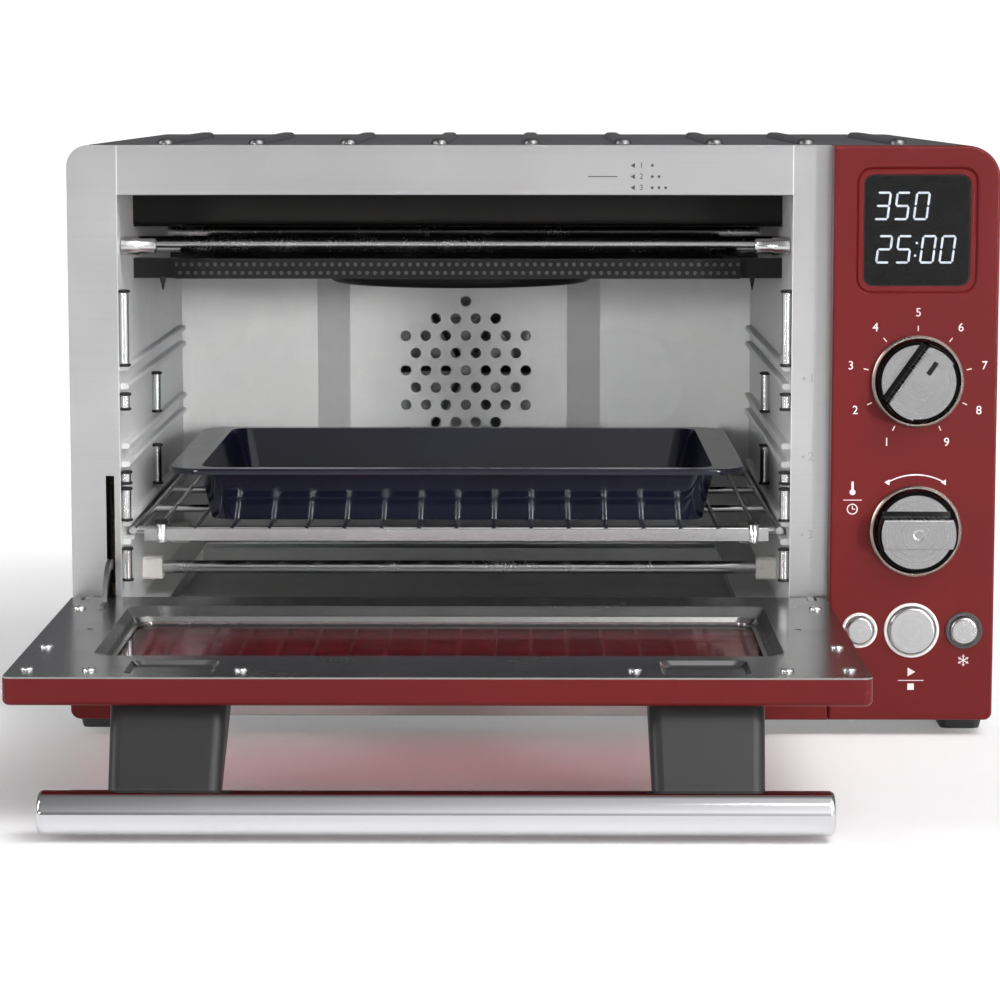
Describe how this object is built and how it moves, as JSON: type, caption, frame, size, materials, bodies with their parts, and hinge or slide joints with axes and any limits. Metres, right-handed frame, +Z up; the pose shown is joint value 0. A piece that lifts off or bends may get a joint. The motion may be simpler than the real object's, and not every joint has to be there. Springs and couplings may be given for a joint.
{
  "type": "toaster oven",
  "caption": "Countertop toaster oven with a drop-down glass door and tube handle, sliding wire rack, roasting pan, crumb tray, fan, and a side control panel with knobs and push buttons.",
  "frame": {"origin": "on the table, at the middle of the space that the oven takes with its door down", "axes": "+X to the right as the user faces the oven, +Y from the user to its back, +Z up"},
  "size_m": [0.47, 0.6595, 0.303],
  "materials": {
    "red_paint": "deep red baked paint, satin gloss",
    "brushed_steel": "brushed stainless steel",
    "galvanised_steel": "plain zinc-coated sheet",
    "liner_steel": "soft grey aluminised sheet",
    "door_steel": "dark brushed stainless steel",
    "clear_glass": "clear tempered glass",
    "dark_glass": "red-brown tinted tempered glass",
    "bright_chrome": "polished chrome plate",
    "arm_steel": "plain steel strip",
    "bracket_grey": "satin dark grey",
    "heater_sheath": "dark polished metal sheath",
    "white_ceramic": "off-white ceramic",
    "black_enamel": "blue-black gloss enamel",
    "black_rubber": "matt black rubber",
    "knob_metal": "satin brushed metal",
    "ring_dark": "dark ring",
    "ring_light": "white ring",
    "black_plastic": "black moulded plastic",
    "circuit_board": "green laminate",
    "glass_wool": "glass-fibre blanket",
    "motor_steel": "pressed steel"
  },
  "bodies": {
    "chassis": {"top_cover": "brushed_steel", "left_side_panel": "brushed_steel", "right_side_panel": "brushed_steel", "back_panel": "galvanised_steel", "base_plate": "galvanised_steel", "feet": "black_rubber", "front_top_rail": "brushed_steel", "left_stile": "brushed_steel", "right_stile": "brushed_steel", "sill": "brushed_steel", "lower_trim": "red_paint", "control_panel": "red_paint", "partition_panel": "galvanised_steel", "liner_left": "liner_steel", "liner_right": "liner_steel", "liner_top": "liner_steel", "liner_floor": "liner_steel", "liner_back": "liner_steel", "rack_posts": "bright_chrome", "upper_heaters": "heater_sheath", "lower_heaters": "heater_sheath", "heater_insulators": "white_ceramic", "heater_guard": "black_enamel", "upper_reflector": "black_enamel", "temperature_sensor": "motor_steel", "insulation": "glass_wool", "thermal_fuse": "motor_steel", "display_bezel": "black_plastic", "display_lens": "clear_glass", "display_module": "black_plastic", "control_board": "circuit_board", "rotary_encoders": "black_plastic", "knob_rings": "ring_dark", "button_rings": "ring_light", "power_board": "circuit_board", "terminal_block": "black_plastic", "cord_gland": "black_plastic", "door_switch": "black_plastic", "fan_housing": "galvanised_steel", "fan_motor": "motor_steel", "hinge_brackets": "galvanised_steel", "case_screws": "galvanised_steel"},
    "door": {"door_shell": "red_paint", "door_inner_panel": "door_steel", "door_glass_inner": "clear_glass", "door_glass_outer": "dark_glass", "door_screws": "bright_chrome", "hinge_arm": "arm_steel", "handle_bar": "bright_chrome", "handle_brackets": "bracket_grey"},
    "rack": {"wire_rack": "bright_chrome"},
    "pan": {"roasting_pan": "black_enamel"},
    "tray": {"crumb_tray": "black_enamel"},
    "mode_knob": {"mode_knob": "knob_metal"},
    "select_plunger": {"select_plunger": "knob_metal"},
    "select_knob": {"select_knob": "knob_metal"},
    "left_button": {"left_button": "knob_metal"},
    "start_button": {"start_button": "knob_metal"},
    "right_button": {"right_button": "knob_metal"},
    "fan": {"fan": "motor_steel"}
  },
  "joints": [
    {"name": "door_hinge", "type": "hinge", "parent": "chassis", "child": "door", "pos_m": [-0.042, -0.0705, 0.0655], "axis": [-1, 0, 0], "range_deg": [0, 90]},
    {"name": "rack_slide", "type": "slide", "parent": "chassis", "child": "rack", "axis": [0, 1, 0], "range_m": [-0.2, 0]},
    {"name": "pan_lift", "type": "slide", "parent": "rack", "child": "pan", "axis": [0, 0, 1], "range_m": [0, 0.06]},
    {"name": "tray_slide", "type": "slide", "parent": "chassis", "child": "tray", "axis": [0, 1, 0], "range_m": [-0.15, 0]},
    {"name": "mode_turn", "type": "hinge", "parent": "chassis", "child": "mode_knob", "pos_m": [0.1946, -0.078, 0.182], "axis": [0, -1, 0], "continuous": true},
    {"name": "select_push", "type": "slide", "parent": "chassis", "child": "select_plunger", "axis": [0, 1, 0], "range_m": [0, 0.0015], "stiffness_N_per_m": 900},
    {"name": "select_turn", "type": "hinge", "parent": "select_plunger", "child": "select_knob", "pos_m": [0.1946, -0.078, 0.106], "axis": [0, -1, 0], "continuous": true},
    {"name": "left_button_push", "type": "slide", "parent": "chassis", "child": "left_button", "axis": [0, 1, 0], "range_m": [0, 0.0012], "stiffness_N_per_m": 900},
    {"name": "start_button_push", "type": "slide", "parent": "chassis", "child": "start_button", "axis": [0, 1, 0], "range_m": [0, 0.0012], "stiffness_N_per_m": 900},
    {"name": "right_button_push", "type": "slide", "parent": "chassis", "child": "right_button", "axis": [0, 1, 0], "range_m": [0, 0.0012], "stiffness_N_per_m": 900},
    {"name": "fan_spin", "type": "hinge", "parent": "chassis", "child": "fan", "pos_m": [-0.0387, 0.266, 0.16], "axis": [0, -1, 0], "continuous": true}
  ]
}
